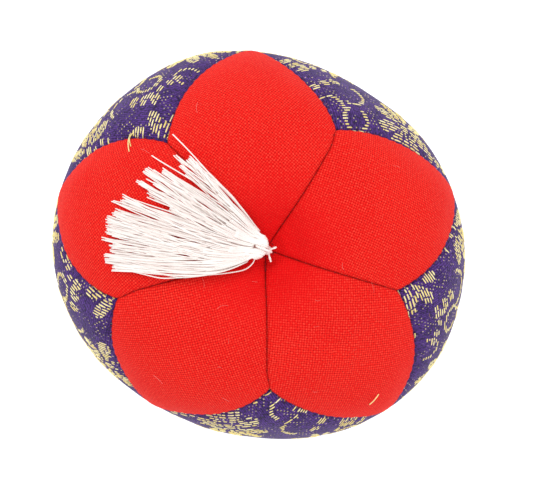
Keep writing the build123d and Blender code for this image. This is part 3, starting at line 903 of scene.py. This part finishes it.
# --- Stuffing: a lumpy mass of fibre just inside the cloth ---
LUMP_DEPTH, LUMP_SEAM_DEPTH, LUMP_SEAM_WIDTH = 0.65, 2.3, 1.7 * MM
lump = []
for panel in panels:
    depth = LUMP_DEPTH + LUMP_SEAM_DEPTH * np.exp(-from_edges(panel.base) / LUMP_SEAM_WIDTH)
    depth += 0.10 * ripples(panel.base, 5 * MM, 90)
    lump.append((panel.form - panel.normals * (depth * MM)[..., None]).reshape(-1, 3))
lump = np.concatenate(lump)[first_index]
edges = {edge for face in welded_faces for edge in zip(face, face[1:] + face[:1])}
open_edges = [edge for edge in edges if edge[::-1] not in edges]


def rim_loop(top):
    """Points of the hole at one pole, in order of heading."""
    loop = {a for a, b in open_edges if (lump[a][2] > CORE[2]) == top}
    return sorted(loop, key=lambda i: math.atan2(lump[i][1], lump[i][0]))


upper, lower = rim_loop(True), rim_loop(False)
bore = [(upper[i], upper[i - 1], lower[i - 1], lower[i]) for i in range(len(upper))]
stuffing = add_mesh("stuffing_fibre", lump, welded_faces + bore, FIBRE)
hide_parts("stuffing")

# --- The finished outside, for laying threads on ---
skin_points = np.concatenate([p.fine.reshape(-1, 3) for p in panels])
skin_faces = np.concatenate([fine_quads + k * FINE * FINE for k in range(10)])
skin = BVHTree.FromPolygons(skin_points.tolist(), skin_faces.tolist())


def resting(x, y, lift):
    """A point above the cushion's top at (x, y) metres, and the surface normal there."""
    spot, normal, _, _ = skin.ray_cast(Vector((x, y, 0.08)), Vector((0, 0, -1)))
    normal = normal if normal.z > 0 else -normal
    return np.array(spot + normal * lift), np.array(normal)


def smooth(path, steps_each=4):
    """A curve through the points of a path."""
    path = np.asarray(path, float)
    return spline_weights(len(path), (len(path) - 1) * steps_each + 1) @ path


class Course:
    """A line over the cloth, measured by distance along, beside and above it."""

    def __init__(self, points, outward, inside=None):
        self.run = np.concatenate([[0], np.cumsum(np.linalg.norm(np.diff(points, axis=0), axis=1))])
        side = unit(np.cross(outward, unit(np.gradient(points, axis=0))))
        if inside is not None and np.sum(side * (inside - points)) < 0:
            side = -side
        self.tracks = (points, side, outward)
        self.length = self.run[-1]

    def at(self, run, side, height):
        spot = [np.array([np.interp(run, self.run, t[:, i]) for i in range(3)]) for t in self.tracks]
        return spot[0] + spot[1] * side * MM + unit(spot[2]) * height * MM


def sewn(course, start, end, pitch, stitch, tip=None):
    """One thread sewn along a course: stitch is (share of pitch, side, height) points.
    Where the course passes a petal tip, the thread stays inside the taut cloth."""
    path, run, draw = [], start, np.random.default_rng(int(course.length * 1e6) % 9973)
    while run < end:
        reach = pitch * draw.uniform(0.88, 1.12)
        for share, side, height in stitch:
            spot = run + share * reach
            hidden = 0 if tip is None else 0.9 * math.exp(-(((spot - tip) / TIP_REACH) ** 2))
            path.append(course.at(spot, side * draw.uniform(0.85, 1.1), height - hidden))
        run += reach
    return smooth(path, 3)


def seam_course(panel, edge, other, other_edge):
    """The line halfway between two panels' edges."""
    line = edge_rows(panel.fine)[edge] + edge_rows(other.fine)[other_edge]
    outward = edge_rows(panel.out)[edge] + edge_rows(other.out)[other_edge]
    return Course(line / 2, unit(outward))


def thread_piece(name, paths, radius, material, slot=None, sides=5, body="cushion"):
    """Threads as one piece; with a slot, it replaces the node it is named after."""
    piece = add_mesh(name, *tubes(paths, radius, sides), material, body)
    if slot:
        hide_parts(name.rpartition("_")[0])


# Stitches as points of (share of the pitch, mm to the side, mm over the cloth)
WHIP = ((0.0, -0.24, -0.25), (0.07, -0.14, 0.12), (0.15, 0.14, 0.12), (0.22, 0.24, -0.25), (0.6, 0.0, -0.6))
SLIP = ((0.0, -0.05, 0.30), (0.12, 0.18, 0.48), (0.25, 0.50, 0.42), (0.33, 0.62, 0.10), (0.7, 0.20, -0.40))
SLIP_PITCH, GORE_PITCH = 1.7 * MM, 2.3 * MM
# A long stitch on the fourth petal seam: (mm along, to the side, over the cloth)
LONG_STITCH = ((2.2, 0.05, 0.0), (2.5, 0.0, 0.45), (3.3, -0.05, 0.55), (4.0, 0.0, 0.45), (4.3, 0.05, 0.0))
for k in range(5):
    course = seam_course(petals[k], 0, petals[k - 1], 2)
    paths = [sewn(course, 1.6 * MM, course.length - 0.8 * MM, STITCH_PITCH, WHIP)]
    if k == 3:
        paths.append(smooth([course.at(run * MM, side, height) for run, side, height in LONG_STITCH]))
    thread_piece(f"petal_seam_{k + 1}_thread", paths, 0.075 * MM, RED_THREAD, "petal_thread")

for k in range(5):
    paths = []
    for gore, edge in ((gores[k], 2), (gores[(k + 1) % 5], 0)):
        inside = gore.fine[6] if edge == 2 else gore.fine[:, 6]
        course = Course(edge_rows(gore.fine)[edge], edge_rows(gore.out)[edge], inside)
        paths.append(sewn(course, 1.0 * MM, course.length - 0.8 * MM, SLIP_PITCH, SLIP, course.length))
    thread_piece(f"scallop_seam_{k + 1}_thread", paths, 0.08 * MM, RED_THREAD, "petal_thread")

# The ladder stitch that closed the stuffing gap, on the third gore seam
# Its place is given by angles below the girth, as in the CAD
LADDER_START, LADDER_STEP, LADDER_RUNGS, LADDER_MARGIN = 36.0, 6.0, 7, 3
LADDER_RUNG = ((1.08, 0.25), (0.85, 0.86), (0.0, 0.92), (-0.85, 0.86), (-1.08, 0.25))
gore_courses = [seam_course(gores[k], 1, gores[(k + 1) % 5], 3) for k in range(5)]
closed = gore_courses[2]
line = closed.tracks[0]
out = np.hypot(line[:, 0], line[:, 1]) - LOWER_CENTRE * MM
drop = np.degrees(np.arctan2(CORE[2] - line[:, 2], out))
on_arc = (drop > 0) & (drop < 88)


def run_at(angle):
    return np.interp(angle, drop[on_arc], closed.run[on_arc])


rungs = []
for rung in range(LADDER_RUNGS):
    run = run_at(LADDER_START + rung * LADDER_STEP)
    way = 1 if rung % 2 else -1
    rungs += [closed.at(run, way * side, height) for side, height in LADDER_RUNG]
thread_piece("closing_stitches_thread", [smooth(rungs, 5)], 0.13 * MM, BLUE_THREAD, "gore_thread")
gap_start = run_at(LADDER_START - LADDER_MARGIN)
gap_end = run_at(LADDER_START + LADDER_STEP * (LADDER_RUNGS - 1) + LADDER_MARGIN)
for k, course in enumerate(gore_courses):
    start, end = 1.0 * MM, course.length - 2 * MM
    spans = [(start, gap_start), (gap_end, end)] if course is closed else [(start, end)]
    paths = [sewn(course, a, b, GORE_PITCH, WHIP, 0.0) for a, b in spans]
    thread_piece(f"gore_seam_{k + 1}_thread", paths, 0.09 * MM, BLUE_THREAD, "gore_thread")


def ball(centre, radius, thread, loops, draw):
    """Loops of thread wound round a centre, as a tight knot."""
    paths = []
    for _ in range(loops):
        first = unit(draw.normal(size=3))
        second = unit(np.cross(first, draw.normal(size=3)))
        reach = (radius - thread) * draw.uniform(0.72, 1.0)
        turn = np.linspace(0, 2 * math.pi, 21)[:, None]
        wander = 0.12 * np.sin(2 * turn + draw.uniform(0, 6))
        third = np.cross(first, second)
        paths.append(centre + reach * unit(first * np.cos(turn) + second * np.sin(turn) + third * wander))
    return paths


def twisted(path, strand, turns, count=2):
    """Strands plied round a path."""
    side, other = frames(path, (0.31, 0.83, 0.46))
    turn = np.linspace(0, turns * 2 * math.pi, len(path))[:, None]
    return [
        path + strand * (side * np.cos(turn + p) + other * np.sin(turn + p))
        for p in np.arange(count) * 2 * math.pi / count
    ]


def upright(low, high, count):
    """Points up the Z axis between two heights in mm."""
    return np.linspace(low, high, count)[:, None] * UPWARD * MM


# Gathering thread: a running stitch round the eyelet
GATHER_RADIUS = 1.55 * MM
gather = []
for step in range(40):
    spot, normal = resting(*polar(step * 9, GATHER_RADIUS), 0)
    gather.append(spot + normal * MM * (0.06 if step % 4 < 2 else -0.28))
thread_piece("gather_thread_stitches", [smooth(gather, 3)], 0.1 * MM, RED_THREAD, "petal_thread")

# Tuft thread: down the middle, knotted in the base dimple
draw = np.random.default_rng(11)
tuft = twisted(upright(1.7, 37.6, 60), 0.17 * MM, 9)
tuft += ball(1.72 * MM * UPWARD, 1.08 * MM, 0.2 * MM, 12, draw)
thread_piece("tuft_thread_plied", tuft, 0.19 * MM, TUFT_THREAD, "tuft_thread", 6)

# --- Tassel tie: plied ring through the fold, knot, cut ends and the post down the eyelet ---
TASSEL_HEADING = 158.0
KNOT_Z, HINGE_Z, HINGE_REACH, RING_RADIUS = 41.2, 43.3, 0.9, 1.45
TIE_ENDS = ((20.0, 1.9), (285.0, 2.4))  # (heading, length in mm)
forward = direction(TASSEL_HEADING, 90.0)
leftward = direction(TASSEL_HEADING + 90, 90.0)
hinge = forward * HINGE_REACH * MM + UPWARD * HINGE_Z * MM
turn = np.linspace(0, 2 * math.pi, 49)[:, None]
ring = hinge + RING_RADIUS * MM * (forward * np.cos(turn) + UPWARD * np.sin(turn))
knot = KNOT_Z * MM * UPWARD
tie = twisted(ring, 0.09 * MM, 7, 3)
tie += ball(knot, 0.88 * MM, 0.15 * MM, 14, draw)
tie += twisted(upright(38.2, KNOT_Z, 12), 0.15 * MM, 2, 3)
for heading, length in TIE_ENDS:
    reach = np.linspace(0.5, length, 8)[:, None] * MM
    droop = np.linspace(0, 1, 8)[:, None] ** 2 * 0.28 * MM
    tie += twisted(knot + direction(heading, 65.0) * reach - UPWARD * droop, 0.09 * MM, 1, 2)
thread_piece("tassel_tie_thread", tie, 0.14 * MM, WHITE_THREAD, "tassel_thread", 6, "tie")

# --- Tassel fold: threads doubled over the ring and gathered into the neck ---
STRAND = 0.12 * MM
FOLD_DROOP = 15.0
level_share, drop_share = polar(FOLD_DROOP)
fold_out = forward * level_share - UPWARD * drop_share
fold_up = forward * drop_share + UPWARD * level_share


def crown(radius):
    """Height of the cushion's nominal top at a distance from the Z axis, in mm."""
    if radius > CROWN_RADIUS:
        return GIRTH_Z + math.sqrt(UPPER_ARC**2 - (radius - CROWN_RADIUS) ** 2)
    if radius > CROWN_RADIUS * MOUTH_ARC / (MOUTH_ARC + CREST_ARC):
        return CREST_Z + math.sqrt(CREST_ARC**2 - (CROWN_RADIUS - radius) ** 2)
    return MOUTH_Z - math.sqrt(MOUTH_ARC**2 - radius**2)


CLEAR = 0.35  # under the tassel
# Depth of the fan at distances from the axis, and its neck and opening
FULLNESS = ((2.0, 2.7), (9.0, 2.3), (16.0, 1.9), (23.0, 1.5), (31.0, 1.1))


def fan_point(reach, aside, level):
    """A point of the fan, reach and aside in mm, level from 0 underneath to 1 on top."""
    radius = math.hypot(reach, aside)
    thick = np.interp(radius, *zip(*FULLNESS)) - 2 * STRAND / MM
    height = crown(radius) + CLEAR + STRAND / MM + level * max(thick, 0.1)
    return (forward * reach + leftward * aside + UPWARD * height) * MM


# Strands leave the neck steeply, then run straight: across is -1 to 1 over the fan
FAN_MIDDLE, FAN_HALF, FAN_ANGLE, NECK_HALF = 1.05, 3.3, 22.0, 2.35
FAN_START, FAN_OPENING = 2.2, 2.8


def fan_aside(reach, across):
    line = FAN_MIDDLE + FAN_HALF * across + reach * math.tan(math.radians(FAN_ANGLE * across))
    opening = 1 - math.exp(-max(reach - FAN_START, 0) / FAN_OPENING)
    return NECK_HALF * across * (1 - opening) + line * opening


def fan_run(reaches, across, level):
    return [fan_point(reach, fan_aside(reach, across), level) for reach in reaches]


def fold_point(out, aside, height):
    """A point by the hinge, in mm along the drooping fold, to the left and up from it."""
    return hinge + (fold_out * out + leftward * aside + fold_up * height) * MM


draw = np.random.default_rng(21)
fold_paths = []
# Threads bent round the ring, nested from the middle of the bundle outwards
for spread in (0.46, 0.56, 0.64, 0.72, 0.80, 0.88):
    for height in (-0.5, -0.25, 0.0, 0.25, 0.5):
        apex = math.sqrt(0.6**2 - height**2) * (1.2 - 2.2 * (spread - 0.56) / 0.5) - 0.1
        path = []
        for angle in np.linspace(-90, 90, 9):
            ahead, aside = polar(angle)
            path.append(fold_point(max(apex, -0.5) + 0.75 * spread * (1 - ahead), spread * aside, height))
        left, right = (
            fan_run((3.4, 5.0, 7.0), side * spread / NECK_HALF, 0.5 + height) for side in (-1, 1)
        )
        fold_paths.append(smooth(left[::-1] + path + right, 3))
# Threads rolled over the ring beside those, in two layers, from underneath to the top
for side in (-1, 1):
    for aside in np.arange(0.44, 2.4, 0.165):
        for roll in (0.66, 0.42):
            middle = 1.8 - math.sqrt(2.6**2 - min(aside, 2.3) ** 2) + 0.82 + draw.normal(0, 0.03)
            lateral = side * (aside + draw.normal(0, 0.03))
            path = []
            for angle in np.linspace(-100, 100, 9):
                back_by, height = polar(angle, roll)
                path.append(fold_point(middle - back_by, lateral, height))
            for bottom in (True, False):
                level = draw.uniform(0, 0.15) if bottom else draw.uniform(0.8, 1.0)
                leg = fan_run(np.linspace(3.6, draw.uniform(8, 13), 6), lateral / NECK_HALF, level)
                path = leg[::-1] + path if bottom else path + leg
            fold_paths.append(smooth(path, 3))
# Threads that fill the neck behind the ring, clear of it
for aside in np.linspace(-0.45, 0.45, 9):
    for level in (0.1, 0.4, 0.7, 0.97):
        start = 1.5 if level < 0.2 else 2.0 if level < 0.5 else 2.55 + 0.28 * level
        fold_paths.append(smooth(fan_run(np.linspace(start, draw.uniform(7, 12), 7), aside, level), 3))
# One loose loop on the left, as (reach, aside, level)
LOOSE = (
    (1.7, 2.2, 0.6), (1.75, 3.3, 0.45), (2.6, 4.7, 0.3), (4.6, 6.0, 0.2), (8.0, 7.7, 0.25), (13.0, 9.9, 0.3)
)
fold_paths.append(smooth([fan_point(*spot) for spot in LOOSE], 5))
thread_piece("tassel_fold_threads", fold_paths, STRAND, WHITE_THREAD, "tassel_thread", 6, "tassel")

# --- Tassel locks: (end heading, its spread, length in mm, strands) of each clump ---
LOCKS = (
    ((130.6, 0.8, 22.6, 13), (129.6, 0.1, 27.4, 1), (134.0, 0.6, 24.6, 3), (136.3, 0.7, 22.6, 6)),
    ((140.4, 0.2, 27.4, 1), (142.4, 0.9, 24.6, 14), (146.4, 0.9, 27.0, 17), (149.6, 0.6, 24.6, 6)),
    ((151.9, 0.5, 27.2, 8), (154.2, 0.9, 24.6, 9), (157.2, 0.8, 20.0, 7), (160.6, 1.0, 28.6, 15),
     (162.3, 0.4, 30.0, 4)),
    ((166.0, 1.1, 29.2, 18), (169.2, 1.2, 30.2, 18), (173.0, 1.2, 29.8, 19), (175.9, 0.4, 30.5, 6)),
    ((179.2, 1.1, 29.0, 18), (182.8, 1.1, 29.9, 20), (185.8, 0.8, 28.6, 18), (187.2, 0.3, 28.8, 4)),
)
LOCK_EDGES = (126.0, 138.0, 151.0, 164.0, 177.0, 188.0)
THICKER = 1.35  # strands modelled for each one counted
LOCK_MARGIN = 0.2
across_steps = np.linspace(-1.3, 1.3, 105)
for number, clumps in enumerate(LOCKS):
    first, last = LOCK_EDGES[number], LOCK_EDGES[number + 1]
    paths = []
    for heading, spread, length, count in clumps:
        for _ in range(round(count * THICKER) if count > 1 else 1):
            end_heading = np.clip(draw.normal(heading, spread), first + LOCK_MARGIN, last - LOCK_MARGIN)
            end = length - (abs(draw.normal(0, 0.9)) if count > 1 else 0)
            end_reach, end_aside = polar(end_heading - TASSEL_HEADING, end)
            asides = [fan_aside(end_reach, a) for a in across_steps]
            across = float(np.interp(end_aside, asides, across_steps))
            level, tip_level = draw.uniform(0, 1), draw.uniform(0, 1)
            start = 2.55 + 0.30 * level + draw.uniform(0, 0.35)
            stray = draw.normal(0, 0.22)
            swing, wave, phase = draw.normal(0, 0.30), draw.uniform(0.04, 0.14), draw.uniform(0, 6.3)
            path = []
            for t in np.linspace(0, 1, 18):
                reach = start + (end_reach - start) * t
                weave = float(np.clip(across + stray * (1 - t) ** 1.5, -1.08, 1.08))
                aside = fan_aside(reach, weave) + swing * math.sin(math.pi * t) * t
                aside += wave * math.sin(8 * t + phase) * min(3 * t, 1)
                path.append(fan_point(reach, aside, level + (tip_level - level) * t * t))
            paths.append(smooth(path, 2))
    name = f"tassel_lock_{number + 1}_strands"
    thread_piece(name, paths, STRAND, WHITE_THREAD, "tassel_thread", 5, "tassel")

# --- Small truths: lint on the cloth and loose gold ends ---
draw = np.random.default_rng(5)
lint = []
for _ in range(20):
    heading, radius = draw.uniform(0, 2 * math.pi), draw.uniform(6, 33) * MM
    x, y = radius * math.cos(heading), radius * math.sin(heading)
    way, bend, length = draw.uniform(0, 2 * math.pi), draw.uniform(-1.2, 1.2), draw.uniform(0.8, 2.4) * MM
    hair = []
    for t in np.linspace(0, 1, 6):
        x += math.cos(way + bend * t) * length / 5
        y += math.sin(way + bend * t) * length / 5
        hair.append(resting(x, y, (0.04 + 0.12 * t) * MM)[0])
    lint.append(smooth(hair, 2))
LINT = yarn("lint", (0.80, 0.20, 0.16), (0.92, 0.50, 0.44), 0.8, 0.1)
thread_piece("lint", lint, 0.016 * MM, LINT, sides=4)


def loose_end(start, way, length, curl, lift=0.35):
    """A gold thread that has pulled out of the brocade and lies over the cloth."""
    x, y = start
    path = []
    for t in np.linspace(0, 1, 8):
        path.append(resting(x, y, (0.1 + lift * math.sin(math.pi * t)) * MM)[0])
        step_x, step_y = polar(way + curl * t, length)
        x += step_x / 7
        y += step_y / 7
    return smooth(path, 3)


LOOSE_ENDS = (  # heading and reach in mm of the start, way, length in mm, curl
    (SEAM_HEADINGS[1] + 6.5, 32.6, 258.0, 3.2, 14.0),
    (SEAM_HEADINGS[1] + 5.6, 32.4, 240.0, 2.6, 45.0),
    (TIP_HEADINGS[3], 34.5, 215.0, 2.6, 40.0),
)
ends = [
    loose_end(polar(heading, reach * MM), way, length * MM, curl)
    for heading, reach, way, length, curl in LOOSE_ENDS
]
thread_piece("loose_gold_ends", ends, 0.11 * MM, GOLD)

for panel in panels:
    width, length, area = panel.size
    area = min(area, width * length)

# --- Floor and light ---
floor_mesh = bpy.data.meshes.new("floor")
floor_mesh.from_pydata([(-2, -2, 0), (2, -2, 0), (2, 2, 0), (-2, 2, 0)], [], [(0, 1, 2, 3)])
floor_mesh.materials.append(Graph("floor").look(
    (0.95, 0.95, 0.95, 1), None, Roughness=0.9, Emission_Color=(1, 1, 1, 1), Emission_Strength=0.45
))
floor = add_object("floor", floor_mesh)

world = bpy.data.worlds.new("studio")
bpy.context.scene.world = world
world.use_nodes = True
sky = world.node_tree.nodes["Background"].inputs
sky["Color"].default_value = (1, 1, 1, 1)
sky["Strength"].default_value = 0.75


def softbox(name, place, size, power):
    data = bpy.data.lights.new(name, "AREA")
    data.size = size
    data.energy = power
    lamp = add_object(name, data)
    lamp.location = place
    lamp.rotation_euler = (Vector((0, 0, 0.02)) - Vector(place)).to_track_quat("-Z", "Y").to_euler()


softbox("key", (-0.35, 0.45, 0.95), 0.7, 5.2)
softbox("fill", (0.6, -0.35, 0.8), 0.9, 2.9)
bpy.context.scene.view_settings.view_transform = "Standard"
